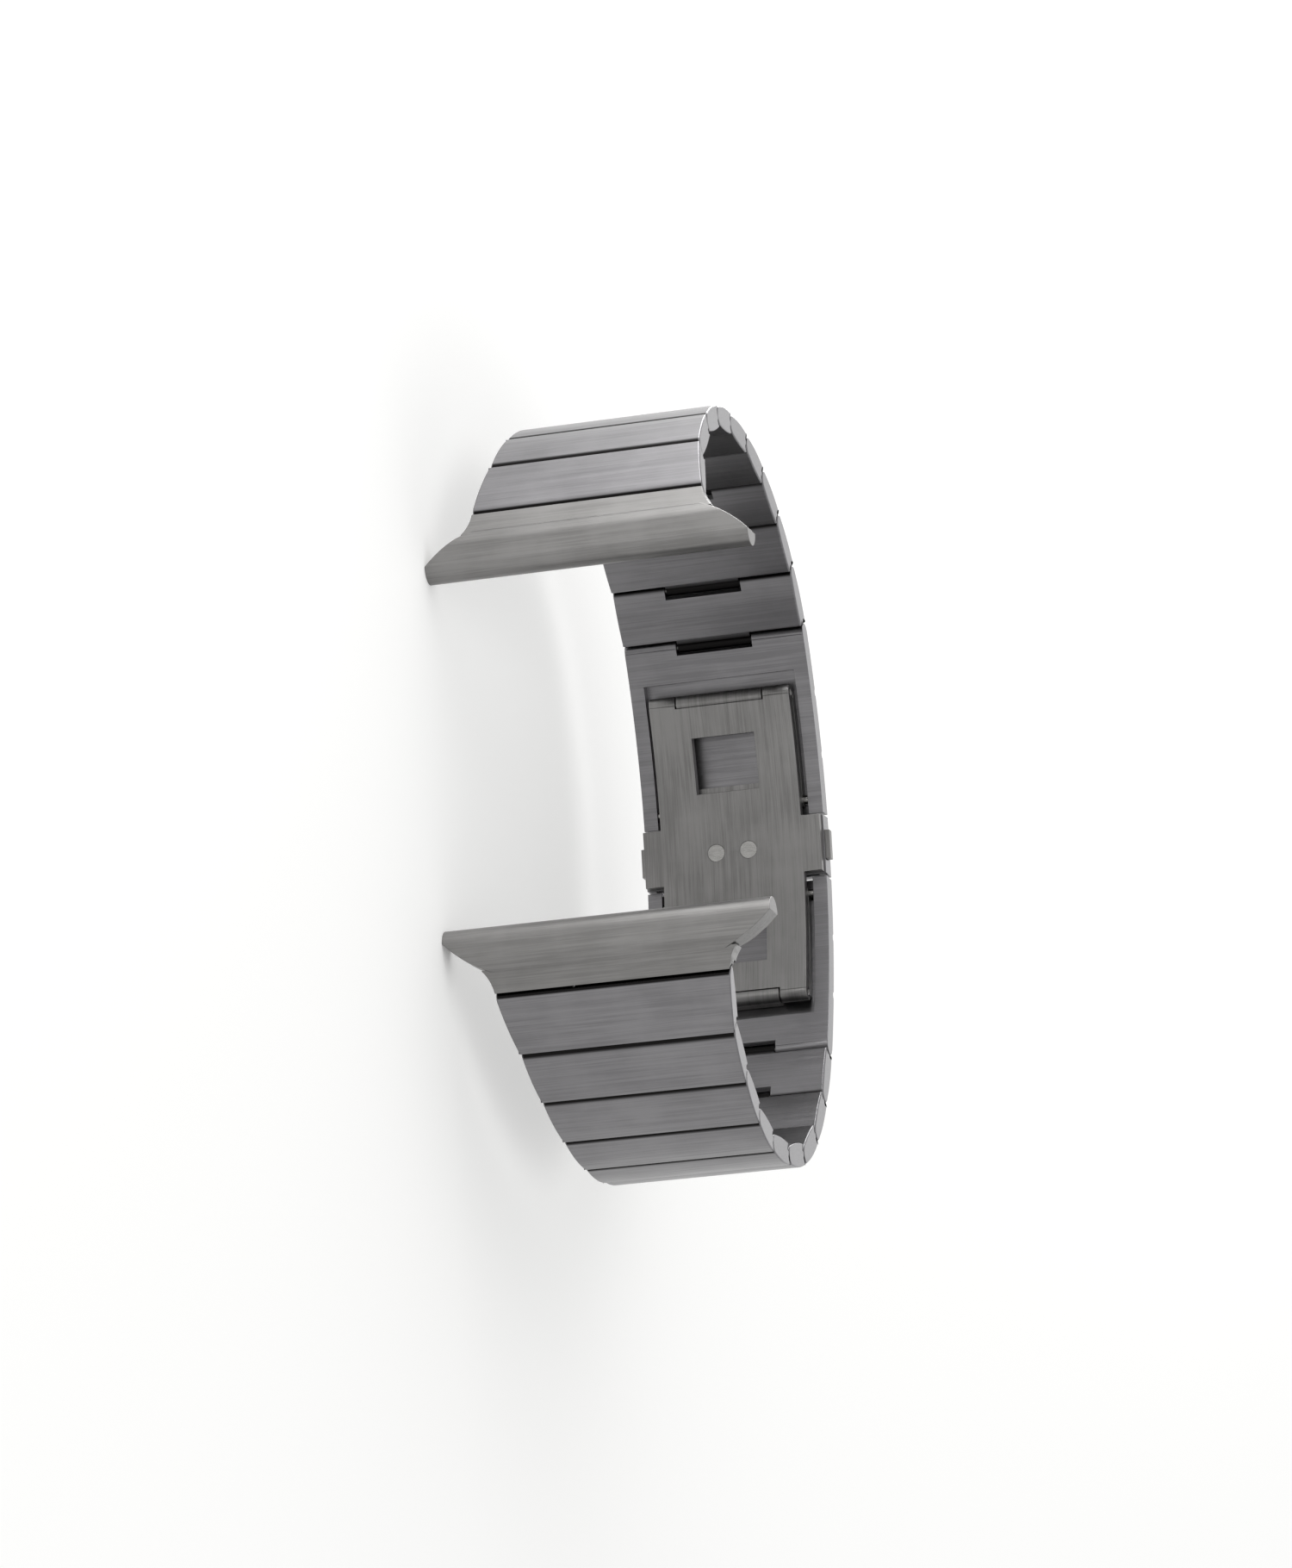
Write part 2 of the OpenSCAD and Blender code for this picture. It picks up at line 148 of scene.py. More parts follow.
@dataclass(frozen=True)
class BrushedSteel:
    """Stainless steel with a satin brushing: fine parallel scratches that soften every reflection one way.

    Attributes:
        name: The finish's name.
        colour: The steel's own colour, sRGB.
        worn_colour: Its colour where it is handled and slightly worn, sRGB.
        roughness: Mean roughness.
        roughness_swing: How much the roughness changes from scratch to scratch.
        scratch_mm: Distance between scratches. Real ones are about 0.03 mm apart, too fine to show, so they
            are drawn a few times coarser.
        scratch_length_mm: Length of a scratch.
        scratch_depth_mm: Depth of a scratch.
        streak_mm: Width of the streaks that a worn brushing belt leaves, a little lighter or darker than
            the rest.
        along: Axes in which a scratch is long, in the part's frame: the pins' axis, or both others on a
            curved plate.
        groove_shade_colour: Near-black painted shade in the hinge grooves, over the unbrushed metal that no
            brush reaches,
        sRGB. None for a piece without such grooves.
        mark_detail: Octaves of the scratches and streaks.
        mark_fineness: Share of each finer octave in them.
        smudges_per_m: How closely the dulled patches lie.
        smudge_detail: Octaves of the patches.
        smudge_fineness: Share of each finer octave in them.
        worn_range: Values of the patches between which the steel goes from its own to its worn colour.
        grain_range: Values of the scratches between which the roughness swings.
        relief: Strength of the scratches' relief on a brushed face.
        end_range: Upright shares of a face's normal between which it goes from brushed to a cut end.
        end_share: Share of the brushing that shows on a cut end.
    """

    name: str
    colour: str
    worn_colour: str
    roughness: float
    roughness_swing: float
    scratch_mm: float
    scratch_length_mm: float
    scratch_depth_mm: float
    streak_mm: float = 0.45
    along: str = "Z"
    groove_shade_colour: str | None = None
    mark_detail: float = 3.0
    mark_fineness: float = 0.6
    smudges_per_m: float = 160.0
    smudge_detail: float = 4.0
    smudge_fineness: float = 0.55
    worn_range: tuple[float, float] = (0.07, 0.18)
    grain_range: tuple[float, float] = (0.3, 0.7)
    relief: float = 0.35
    end_range: tuple[float, float] = (0.75, 0.95)
    end_share: float = 0.15

    def lines(self, tree: bpy.types.NodeTree, place: Any, width_mm: float, length_mm: float) -> Any:
        """Adds a pattern of long thin marks along the brushing.

        Args:
            tree: The material's node tree.
            place: The output socket with the place on the part.
            width_mm: Width of a mark.
            length_mm: Length of a mark.

        Returns:
            The output socket with the pattern, about 0.5 on average.
        """
        across = 1 / (width_mm * MM)
        down = 1 / (length_mm * MM)
        scale = tuple(down if axis in self.along else across for axis in "XYZ")
        stretched = add_node(tree, "ShaderNodeMapping", {"Vector": place, "Scale": scale})
        marks = add_node(tree, "ShaderNodeTexNoise", {"Vector": stretched.outputs[0], "Scale": 1.0,
                                                      "Detail": self.mark_detail,
                                                      "Roughness": self.mark_fineness})
        return marks.outputs["Fac"]

    def brushed_part(self, tree: bpy.types.NodeTree) -> Any:
        """Tells brushed faces from the cut ends of a piece, which are only tumbled smooth.

        Args:
            tree: The material's node tree.

        Returns:
            The output socket with 1 on brushed faces and end_share on faces across the pins' axis.
        """
        normal = add_node(tree, "ShaderNodeNewGeometry").outputs["Normal"]
        upwards = add_node(tree, "ShaderNodeSeparateXYZ", {0: normal}).outputs[2]
        across = add_node(tree, "ShaderNodeMath", {0: upwards}, operation="ABSOLUTE").outputs[0]
        low, high = self.end_range
        brushed = add_node(tree, "ShaderNodeMapRange", {"Value": across, "From Min": low, "From Max": high,
                                                        "To Min": 1.0, "To Max": self.end_share})
        return brushed.outputs[0]

    def tone(self, tree: bpy.types.NodeTree, marks: Any, smudges: Any, brushed: Any) -> Any:
        """Adds the colour: the steel's own, worn in patches and streaks, and painted near black with shade in
        the hinge grooves.

        Args:
            tree: The material's node tree.
            marks: The output socket with the scratches and streaks.
            smudges: The output socket with the patches.
            brushed: The output socket that tells brushed faces from cut ends.

        Returns:
            The output socket with the colour.
        """
        patches = add_node(tree, "ShaderNodeMath", {0: marks, 1: smudges}, operation="MULTIPLY")
        low, high = self.worn_range
        worn = add_node(tree, "ShaderNodeMapRange", {"Value": patches.outputs[0], "From Min": low,
                                                     "From Max": high, "To Min": 0.0, "To Max": brushed})
        steel = add_node(tree, "ShaderNodeMix", {"Factor": worn.outputs[0], "A": linear(self.colour),
                                                 "B": linear(self.worn_colour)}, data_type="RGBA")
        if not self.groove_shade_colour:
            return steel.outputs["Result"]
        # Painted shade: the hinge grooves are mixed towards a near-black colour by each vertex's share.
        groove_shade = add_node(tree, "ShaderNodeAttribute", attribute_name="groove_shade")
        groove_shaded = add_node(tree, "ShaderNodeMix", {"Factor": groove_shade.outputs["Fac"],
                                                  "A": steel.outputs["Result"],
                                                  "B": linear(self.groove_shade_colour)}, data_type="RGBA")
        return groove_shaded.outputs["Result"]

    def build(self) -> bpy.types.Material:
        """Makes the material.

        Returns:
            The material, with its own node tree.
        """
        material = bpy.data.materials.new(self.name)
        tree = empty_tree(material)
        place = add_node(tree, "ShaderNodeTexCoord").outputs["Object"]
        scratches = self.lines(tree, place, self.scratch_mm, self.scratch_length_mm)
        streaks = self.lines(tree, place, self.streak_mm, 2 * self.scratch_length_mm)
        smudges = add_node(tree, "ShaderNodeTexNoise", {"Vector": place, "Scale": self.smudges_per_m,
                                                        "Detail": self.smudge_detail,
                                                        "Roughness": self.smudge_fineness})
        brushed = self.brushed_part(tree)
        marks = add_node(tree, "ShaderNodeMath", {0: scratches, 1: streaks}, operation="MULTIPLY")
        colour = self.tone(tree, marks.outputs[0], smudges.outputs["Fac"], brushed)
        low, high = self.grain_range
        smooth = self.roughness - self.roughness_swing
        rough = self.roughness + self.roughness_swing
        grain = add_node(tree, "ShaderNodeMapRange", {"Value": scratches, "From Min": low, "From Max": high,
                                                      "To Min": smooth, "To Max": rough})
        depth = add_node(tree, "ShaderNodeMath", {0: brushed, 1: self.relief}, operation="MULTIPLY")
        relief = add_node(tree, "ShaderNodeBump", {"Height": scratches, "Strength": depth.outputs[0],
                                                   "Distance": self.scratch_depth_mm * MM})
        shader = add_node(tree, "ShaderNodeBsdfPrincipled", {"Metallic": 1.0, "Base Color": colour,
                                                             "Roughness": grain.outputs[0],
                                                             "Normal": relief.outputs[0]})
        add_node(tree, "ShaderNodeOutputMaterial", {"Surface": shader.outputs[0]})
        return material


@dataclass(frozen=True)
class Finishes:
    """The bracelet's metal finishes, and what each one gives the eye.

    Attributes:
        band: Links, covers and housing. Grey satin steel, whose lines across the band draw every reflection
        out into a soft sheen, with faint streaks, and grooves painted nearly black with shade.
        connector: The connectors. The same satin, a little finer and more even, since each is one broad face.
        clasp: Base, blades and buttons. Plain brushed steel with no grooves, a little lighter and duller,
            with its lines round the curve.
        pin: Pins, rivets and catches. Turned steel, lighter, and sharper in its reflections than the satin.
        spring: Drawn spring wire, nearly smooth and a touch yellow.
    """

    # The near-black groove colours of the band and connector finishes are painted shade in the hinge grooves.
    band: BrushedSteel = BrushedSteel(
        name="satin_band_steel", colour="#858486", worn_colour="#777678", roughness=0.34,
        roughness_swing=0.06, scratch_mm=0.12, scratch_length_mm=9.0, scratch_depth_mm=0.003,
        groove_shade_colour="#1c1b1b")
    connector: BrushedSteel = BrushedSteel(
        name="satin_connector_steel", colour="#868584", worn_colour="#787776", roughness=0.36,
        roughness_swing=0.04, scratch_mm=0.12, scratch_length_mm=7.0, scratch_depth_mm=0.002,
        groove_shade_colour="#1c1b1b")
    clasp: BrushedSteel = BrushedSteel(
        name="brushed_clasp_steel", colour="#8a8988", worn_colour="#797877", roughness=0.38,
        roughness_swing=0.06, scratch_mm=0.12, scratch_length_mm=6.0, scratch_depth_mm=0.003, along="XY")
    pin: BrushedSteel = BrushedSteel(
        name="turned_pin_steel", colour="#a4a3a1", worn_colour="#959492", roughness=0.24,
        roughness_swing=0.04, scratch_mm=0.08, scratch_length_mm=0.5, scratch_depth_mm=0.001)
    spring: BrushedSteel = BrushedSteel(
        name="drawn_spring_wire", colour="#a0a09c", worn_colour="#93928e", roughness=0.22,
        roughness_swing=0.03, scratch_mm=0.05, scratch_length_mm=1.0, scratch_depth_mm=0.001)


class Outline:
    """A closed side view, drawn by walking one point along lines and arcs.

    Attributes:
        WELD: Points nearer than this are one.
        work: The mesh that the outline is drawn in.
        tip: The point that walks.
    """

    WELD = 0.0005

    def __init__(self, x: float, y: float) -> None:
        """Starts at a point."""
        self.work = bmesh.new()
        self.tip = self.work.verts.new((x, y, 0.0))

    def line(self, x: float, y: float) -> "Outline":
        """Walks straight to a point.

        Args:
            x: Its x.
            y: Its y.

        Returns:
            This outline.
        """
        new = bmesh.ops.extrude_vert_indiv(self.work, verts=[self.tip])["verts"][0]
        new.co = (x, y, 0.0)
        self.tip = new
        return self

    def arc(self, x: float, y: float, degrees: float, steps: int) -> "Outline":
        """Walks along an arc.

        Args:
            x: X of the arc's middle.
            y: Y of the arc's middle.
            degrees: How far it turns, positive for anticlockwise.
            steps: Straight pieces in the arc.

        Returns:
            This outline.
        """
        out = bmesh.ops.spin(self.work, geom=[self.tip], cent=(x, y, 0), axis=(0, 0, 1),
                             angle=math.radians(degrees), steps=steps, use_merge=abs(degrees) >= 360,
                             use_duplicate=False)
        self.tip = out["geom_last"][0]
        return self

    def raised(self, low: float, high: float) -> bmesh.types.BMesh:
        """Closes the outline and gives it height.

        Args:
            low: Its lowest z.
            high: Its highest z.

        Returns:
            A closed solid.
        """
        bmesh.ops.remove_doubles(self.work, verts=self.work.verts, dist=self.WELD)
        base = bmesh.ops.contextual_create(self.work, geom=self.work.edges[:])["faces"]
        bmesh.ops.translate(self.work, verts=self.work.verts, vec=(0, 0, low))
        top = bmesh.ops.extrude_face_region(self.work, geom=base, use_keep_orig=True)["geom"]
        risen = [g for g in top if isinstance(g, bmesh.types.BMVert)]
        bmesh.ops.translate(self.work, verts=risen, vec=(0, 0, high - low))
        bmesh.ops.recalc_face_normals(self.work, faces=self.work.faces)
        return self.work


@dataclass(frozen=True)
class Round:
    """The round that an edge is given.

    Attributes:
        width: Its width in millimetres.
        steps: Faces across it.
    """

    width: float
    steps: int

    def give(self, work: bmesh.types.BMesh, edges: list[bmesh.types.BMEdge], unit: float = 1.0) -> None:
        """Rounds edges of a mesh, whose own unit makes a millimetre as long as unit says."""
        bmesh.ops.bevel(work, geom=edges, offset=self.width * unit, offset_type="OFFSET", segments=self.steps,
                        profile=0.5, affect="EDGES", clamp_overlap=False, material=-1)


def angle_of(x: float, y: float) -> float:
    """Gives a direction's angle in degrees, from +x anticlockwise."""
    return math.degrees(math.atan2(y, x))


def faded(depth: float, fade: float) -> float:
    """Turns a depth into a share that grows from 0 to 1 over the fade's distance."""
    return min(1.0, max(0.0, depth / fade))


def turns_by(edge: bmesh.types.BMEdge, degrees: float) -> bool:
    """Tells whether the faces at an edge meet at more than an angle."""
    return edge.calc_face_angle(0) > math.radians(degrees)


def runs_across(edge: bmesh.types.BMEdge) -> bool:
    """Tells whether an edge runs across the band."""
    run = edge.verts[1].co - edge.verts[0].co
    return abs(run.z) > ALONG * run.length


def shade_by_angle(work: bmesh.types.BMesh, degrees: float) -> None:
    """Shades faces that meet at a small angle as one surface.

    Args:
        work: The mesh.
        degrees: The angle from which an edge stays sharp.
    """
    for face in work.faces:
        face.smooth = True
    for edge in work.edges:
        edge.smooth = edge.is_manifold and edge.calc_face_angle(0) < math.radians(degrees)


def as_mesh(work: bmesh.types.BMesh, name: str) -> bpy.types.Mesh:
    """Writes a bmesh to a mesh and frees it.

    Args:
        work: The bmesh.
        name: The mesh's name.

    Returns:
        The mesh.
    """
    mesh = bpy.data.meshes.new(name)
    work.to_mesh(mesh)
    work.free()
    return mesh


def add_object(name: str, data: Any) -> bpy.types.Object:
    """Makes an object and puts it in the scene.

    Args:
        name: Its name.
        data: Its mesh, light or camera.

    Returns:
        The object.
    """
    made = bpy.data.objects.new(name, data)
    bpy.context.scene.collection.objects.link(made)
    return made


def carve(body: bmesh.types.BMesh, *cutters: bmesh.types.BMesh) -> bmesh.types.BMesh:
    """Cuts solids out of a solid.

    Args:
        body: The solid to cut, which is freed.
        *cutters: The solids to take away, which are freed.

    Returns:
        What is left.
    """
    block = add_object("block", as_mesh(body, "block"))
    tools = [add_object("tool", as_mesh(cutter, "tool")) for cutter in cutters]
    for tool in tools:
        cut = block.modifiers.new("cut", "BOOLEAN")
        cut.operation = "DIFFERENCE"
        cut.solver = "EXACT"
        cut.object = tool
    bpy.context.view_layer.update()
    ready = block.evaluated_get(bpy.context.evaluated_depsgraph_get())
    left = bmesh.new()
    left.from_mesh(ready.to_mesh())
    ready.to_mesh_clear()
    for made in [block, *tools]:
        mesh = made.data
        bpy.data.objects.remove(made)
        bpy.data.meshes.remove(mesh)
    return left


class Workshop:
    """Turns meshes into pieces that ride on the frame, and keeps the finishes.

    Attributes:
        made: The materials made so far, by the finish's name.
    """

    def __init__(self) -> None:
        """Starts with no finish made."""
        self.made: dict[str, bpy.types.Material] = {}

    def finish(self, steel: BrushedSteel) -> bpy.types.Material:
        """Gives a finish's material, made on its first use.

        Args:
            steel: The finish.

        Returns:
            Its material.
        """
        if steel.name not in self.made:
            self.made[steel.name] = steel.build()
        return self.made[steel.name]

    def piece(self, name: str, work: bmesh.types.BMesh, steel: BrushedSteel, slot: Slot,
              node: str) -> bpy.types.Object:
        """Puts a finished solid in the scene as the piece that stands for a CAD node.

        Args:
            name: The piece's name.
            work: The solid in metres, in the part's frame, which is freed.
            steel: Its finish.
            slot: The record's material slot. Not used.
            node: The CAD node that it stands for.

        Returns:
            The piece.
        """
        mesh = as_mesh(work, f"{name}_mesh")
        made = add_object(name, mesh)
        mesh.materials.append(self.finish(steel))
        level = made.modifiers.new("flat_faces", "WEIGHTED_NORMAL")
        level.keep_sharp = True
        body = frame["nodes"][node]["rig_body"]
        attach(made, body)
        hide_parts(node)
        log.info("%s rides on %s, %d faces", name, body, len(mesh.polygons))
        return made

    def dress(self, node: str, steel: BrushedSteel) -> None:
        """Gives a CAD node a finish without touching its mesh.

        Args:
            node: The node's name.
            steel: Its finish.
        """
        for one in frame["nodes"][node].material_slots:
            one.material = self.finish(steel)
        log.info("%s is dressed in %s", node, steel.name)


@dataclass(frozen=True)
class BrokenEdge:
    """A machined piece whose sharp edges are broken to a small round, as tumbling leaves them.

    Attributes:
        edge: The round.
        sharp_deg: Edges that turn by more than this are broken.
        flat_deg: Faces that meet at less than this become one face.
        smooth_deg: Faces that meet at less than this shade as one.
        merge_mm: Vertices nearer than this are one.
    """

    edge: Round = Round(0.05, 2)
    sharp_deg: float = 32.0
    flat_deg: float = 0.6
    smooth_deg: float = 40.0
    merge_mm: float = 0.0007

    def merged(self, node: str) -> bmesh.types.BMesh:
        """Copies a CAD node's mesh as a closed solid.

        Args:
            node: The node's name.

        Returns:
            A new solid in the node's place.
        """
        work = bmesh.new()
        work.from_mesh(frame["nodes"][node].data)
        bmesh.ops.remove_doubles(work, verts=work.verts, dist=self.merge_mm * MM)
        bmesh.ops.dissolve_degenerate(work, edges=work.edges, dist=self.merge_mm * MM)
        return work

    def copy_of(self, node: str) -> bmesh.types.BMesh:
        """Copies a CAD node's mesh and rounds its edges.

        Args:
            node: The node's name.

        Returns:
            A new solid in the node's place.
        """
        work = self.merged(node)
        bmesh.ops.dissolve_limit(work, angle_limit=math.radians(self.flat_deg), verts=work.verts,
                                 edges=work.edges, delimit={"NORMAL"})
        work.normal_update()
        sharp = [e for e in work.edges if e.is_manifold and turns_by(e, self.sharp_deg)]
        self.edge.give(work, sharp, MM)
        shade_by_angle(work, self.smooth_deg)
        return work


@dataclass(frozen=True)
class Hinge:
    """Place of one hinge pin in the part's frame, in millimetres.

    Attributes:
        x: Its x.
        y: Its y.
        z: Its z.
    """

    x: float
    y: float
    z: float

    @staticmethod
    def read(side: Side, number: int) -> "Hinge":
        """Reads a hinge's place from the frame's joints.

        Args:
            side: The arm.
            number: The hinge, counted from the connector.

        Returns:
            Its place.
        """
        name = f"hinge_{side.value}_{number}"
        joint = next(j for j in frame["joints"] if j["name"] == name)
        x, y, z = joint["pos_m"]
        return Hinge(x / MM, y / MM, z / MM)


@dataclass(frozen=True)
class Link:
    """One link: a pillow-shaped bar with a rounded forked head, a scooped tail and a tongue.

    It is drawn with its tongue's hinge at the origin, its head's hinge at x = pitch and y outwards.

    Attributes:
        pitch: Distance between the two hinges.
        end_r: Radius of the head's rounded end.
        outer_bulge: How far the outer face bulges between the hinges.
        inner_bulge: How far the inner face bulges.
        scoop_gap: Room between a head and the scoop round it.
        lip_gap: That room at the outer lip, where the scoop opens wider.
        inner_lip_gap: That room at the inner lip.
        ledge: Half the height of the scoop's narrow part.
        eye_r: Radius of the tongue's eye.
        eye_room: Room between the eye and the slot that takes it.
        bore_r: Radius of the pin's bore in the head.
        bore_room: How much wider the bore in the tongue is.
        tongue_w: Width of the tongue.
        side_gap: Room at each side of the tongue.
        neck_from: Where the neck starts that joins the eye to the tail.
        neck_to: Where it ends, inside the tail.
        neck_top: Its upper level.
        slot_low: The head slot's lowest corner, measured from the head's hinge.
        slot_high: Its highest corner.
        blind_end: Metal left between the bore's end and the band's upper edge.
        overshoot: How far a cutting shape runs past a face.
        lip_round: Round of the outer lip and the ledges.
        inner_round: Round of the inner lip, the softest edge of the link.
        rim_round: Round along both edges of the band.
        lip_deg: Edges across the band that turn by more than this are lips.
        smooth_deg: Faces that meet at less than this shade as one.
        groove_starts: Level on the head, to either side of the hinge, at which the painted shade of the
            groove starts.
        head_fade: Height over which that painted shade fades in.
        tail_cover: How far the painted shade reaches out over the scoop's lips.
        tail_fade: Distance over which it fades in there.
        outer_steps: Straight pieces in the outer face's arc.
        inner_steps: Straight pieces in the inner face's arc.
        head_steps: Straight pieces round the head.
        ledge_steps: Straight pieces in the scoop's inner and narrow parts.
        lip_steps: Straight pieces in its outer part.
        slot_steps: Straight pieces round the head's slot.
        eye_steps: Straight pieces round the eye.
        bore_steps: Straight pieces round a bore.
    """

    pitch: float = 6.3
    end_r: float = 0.95
    outer_bulge: float = 0.30
    inner_bulge: float = 0.20
    scoop_gap: float = 0.08
    lip_gap: float = 0.32
    inner_lip_gap: float = 0.50
    ledge: float = 0.34
    eye_r: float = 0.68
    eye_room: float = 0.07
    bore_r: float = 0.41
    bore_room: float = 0.02
    tongue_w: float = 7.7
    side_gap: float = 0.15
    neck_from: float = 0.55
    neck_to: float = 1.7
    neck_top: float = 0.05
    slot_low: tuple[float, float] = (-1.1, -1.6)
    slot_high: tuple[float, float] = (2.0, 0.9)
    blind_end: float = 1.1
    overshoot: float = 1.0
    lip_round: Round = Round(0.06, 2)
    inner_round: Round = Round(0.28, 4)
    rim_round: Round = Round(0.16, 3)
    lip_deg: float = 50.0
    smooth_deg: float = 34.0
    groove_starts: float = 0.945
    head_fade: float = 0.06
    tail_cover: float = 0.02
    tail_fade: float = 0.015
    outer_steps: int = 16
    inner_steps: int = 12
    head_steps: int = 20
    ledge_steps: int = 5
    lip_steps: int = 6
    slot_steps: int = 16
    eye_steps: int = 32
    bore_steps: int = 28

    def crown_r(self, bulge: float) -> float:
        """Gives the radius of a face that bulges between the pins."""
        half = self.pitch / 2
        return (half * half + bulge * bulge) / (2 * bulge)

    def lip(self, bulge: float, radius: float) -> tuple[float, float]:
        """Finds where a bulged face ends at the tail's lip.

        Args:
            bulge: How far the face bulges.
            radius: The lip's distance from the hinge.

        Returns:
            The lip's x, and its distance outwards.
        """
        crown = self.crown_r(bulge)
        middle = Vector((self.pitch / 2, self.end_r + bulge - crown))
        along = (crown * crown - radius * radius - middle.length_squared) / (-2 * middle.length)
        aside = math.sqrt(radius * radius - along * along)
        unit = middle.normalized()
        place = unit * along + Vector((-unit.y, unit.x)) * aside
        return place.x, place.y

    def side_view(self) -> Outline:
        """Draws the link's side view.

        Returns:
            The outline, clockwise from the outer lip.
        """
        half = self.pitch / 2
        outer_r = self.crown_r(self.outer_bulge)
        outer_y = self.end_r + self.outer_bulge - outer_r
        inner_r = self.crown_r(self.inner_bulge)
        inner_y = inner_r - self.end_r - self.inner_bulge
        lip_r = self.end_r + self.lip_gap
        x0, y0 = self.lip(self.outer_bulge, lip_r)
        low_r = self.end_r + self.inner_lip_gap
        x1, y1 = self.lip(self.inner_bulge, low_r)
        scoop_r = self.end_r + self.scoop_gap
        top_turn = angle_of(half, self.end_r - outer_y) - angle_of(x0 - half, y0 - outer_y)
        low_turn = angle_of(x1 - half, -y1 - inner_y) - angle_of(half, -self.end_r - inner_y)
        view = Outline(x0, y0)
        view.arc(half, outer_y, top_turn, self.outer_steps)
        view.arc(self.pitch, 0, -180, self.head_steps)
        view.arc(half, inner_y, low_turn, self.inner_steps)
        low_ledge = math.degrees(math.asin(self.ledge / low_r))
        view.arc(0, 0, -low_ledge - angle_of(x1, -y1), self.ledge_steps)
        ledge = math.degrees(math.asin(self.ledge / scoop_r))
        view.line(scoop_r * math.cos(math.radians(ledge)), -self.ledge)
        view.arc(0, 0, 2 * ledge, self.ledge_steps)
        lip_ledge = math.degrees(math.asin(self.ledge / lip_r))
        view.line(lip_r * math.cos(math.radians(lip_ledge)), self.ledge)
        view.arc(0, 0, angle_of(x0, y0) - lip_ledge, self.lip_steps)
        return view

    def head_slot(self) -> bmesh.types.BMesh:
        """Makes the slot in the head that takes the next piece's tongue.

        Returns:
            The solid to cut away.
        """
        low = Vector(self.slot_low)
        high = Vector(self.slot_high)
        start = low.normalized() * (self.eye_r + self.eye_room)
        turn = angle_of(high.x, high.y) - (360 + angle_of(start.x, start.y))
        view = Outline(self.pitch + low.x, low.y)
        view.line(self.pitch + start.x, start.y)
        view.arc(self.pitch, 0, turn, self.slot_steps)
        view.line(self.pitch + high.x, high.y)
        view.line(self.pitch + high.x, low.y)
        view.line(self.pitch + low.x, low.y)
        half = self.tongue_w / 2 + self.side_gap
        return view.raised(-half, half)

    def pin_bore(self, head_w: float) -> bmesh.types.BMesh:
        """Makes the bore through the head, blind at the upper side.

        Args:
            head_w: The link's width at its head.

        Returns:
            The solid to cut away.
        """
        view = Outline(self.pitch + self.bore_r, 0.0)
        view.arc(self.pitch, 0, 360, self.bore_steps)
        return view.raised(-head_w / 2 - self.overshoot, head_w / 2 - self.blind_end)

    def tongue(self) -> list[bmesh.types.BMesh]:
        """Makes the tongue: a bored eye and the neck that joins it to the tail.

        Returns:
            The eye and the neck.
        """
        half = self.tongue_w / 2
        eye = Outline(self.eye_r, 0.0).arc(0, 0, 360, self.eye_steps).raised(-half, half)
        bore = Outline(self.bore_r + self.bore_room, 0.0).arc(0, 0, 360, self.bore_steps)
        drill = bore.raised(-half - self.overshoot, half + self.overshoot)
        neck = Outline(self.neck_from, -self.eye_r)
        neck.line(self.neck_to, -self.eye_r)
        neck.line(self.neck_to, self.neck_top)
        neck.line(self.neck_from, self.neck_top)
        neck.line(self.neck_from, -self.eye_r)
        return [carve(eye, drill), neck.raised(-half, half)]

    def groove_shade(self, x: float, y: float) -> float:
        """Tells how much painted shade a point gets, by how deep in a hinge groove it lies.

        Args:
            x: The point's x.
            y: The point's y, outwards.

        Returns:
            0 on the open faces and 1 in the groove, where the painted shade is full.
        """
        if x > self.pitch:
            return faded(self.groove_starts - abs(y), self.head_fade)
        if x >= self.neck_to:
            return 0.0
        lip_r = self.end_r + (self.lip_gap if y > 0 else self.inner_lip_gap)
        return faded(lip_r + self.tail_cover - math.hypot(x, y), self.tail_fade)

    def round_edges(self, work: bmesh.types.BMesh) -> None:
        """Rounds the lips, then the edges of the band.

        Args:
            work: The link's bar.
        """
        work.normal_update()
        lips = [e for e in work.edges if turns_by(e, self.lip_deg) and runs_across(e)]
        inner = [e for e in lips if e.verts[0].co.y < -self.end_r and e.verts[0].co.x < self.pitch / 2]
        self.lip_round.give(work, [e for e in lips if e not in inner])
        self.inner_round.give(work, [e for e in inner if e.is_valid])
        work.normal_update()
        rims = [e for e in work.edges if sum(abs(f.normal.z) > ALONG for f in e.link_faces) == 1]
        self.rim_round.give(work, rims)

    def build(self, tail_w: float, head_w: float) -> bmesh.types.BMesh:
        """Makes the whole link.

        Args:
            tail_w: Its width at the tail.
            head_w: Its width at the head.

        Returns:
            The link in millimetres.
        """
        # One unit high at first, then stretched to the band's width
        work = self.side_view().raised(-0.5, 0.5)
        for vert in work.verts:
            vert.co.z *= tail_w + (head_w - tail_w) * vert.co.x / self.pitch
        self.round_edges(work)
        work = carve(work, self.head_slot(), self.pin_bore(head_w))
        for part in self.tongue():
            extra = as_mesh(part, "tongue")
            work.from_mesh(extra)
            bpy.data.meshes.remove(extra)
        # Painted shade: each vertex gets its share of the grooves' near-black shade; the band's rounded edges
        # get none.
        groove_shade_layer = work.verts.layers.float.new("groove_shade")
        for vert in work.verts:
            side = (tail_w + (head_w - tail_w) * vert.co.x / self.pitch) / 2
            inside = abs(vert.co.z) < side - self.rim_round.width + NEAR
            vert[groove_shade_layer] = self.groove_shade(vert.co.x, vert.co.y) if inside else 0.0
        shade_by_angle(work, self.smooth_deg)
        return work


